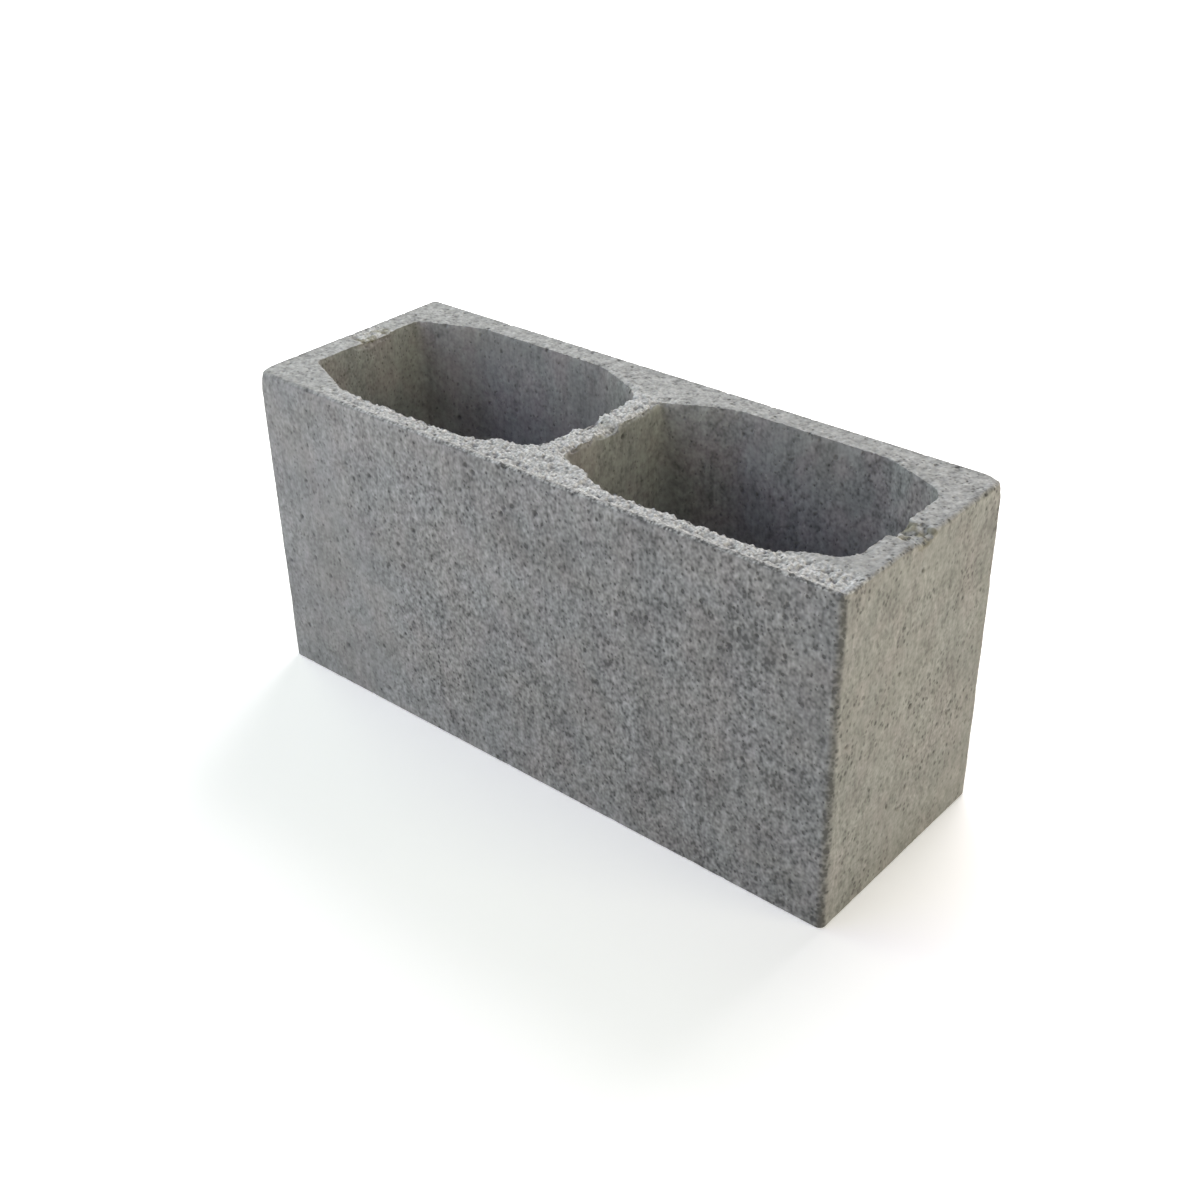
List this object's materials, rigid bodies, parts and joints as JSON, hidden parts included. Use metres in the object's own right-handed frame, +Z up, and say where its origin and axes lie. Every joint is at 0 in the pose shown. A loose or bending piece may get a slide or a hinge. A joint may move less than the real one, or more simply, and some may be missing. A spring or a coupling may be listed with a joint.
{
  "type": "concrete block",
  "caption": "Hollow concrete masonry block, standing on its bed face, with tall open cells side by side between thin face shells and webs.",
  "frame": {"origin": "centre of the underside, on the surface that the block stands on", "axes": "+X along the block's length, +Y across its width, +Z up through the cells"},
  "size_m": [0.39, 0.14, 0.19],
  "materials": {
    "concrete": "dry grey cement concrete with an open, gritty, pitted face"
  },
  "bodies": {
    "root": {"block": "concrete"}
  },
  "joints": []
}
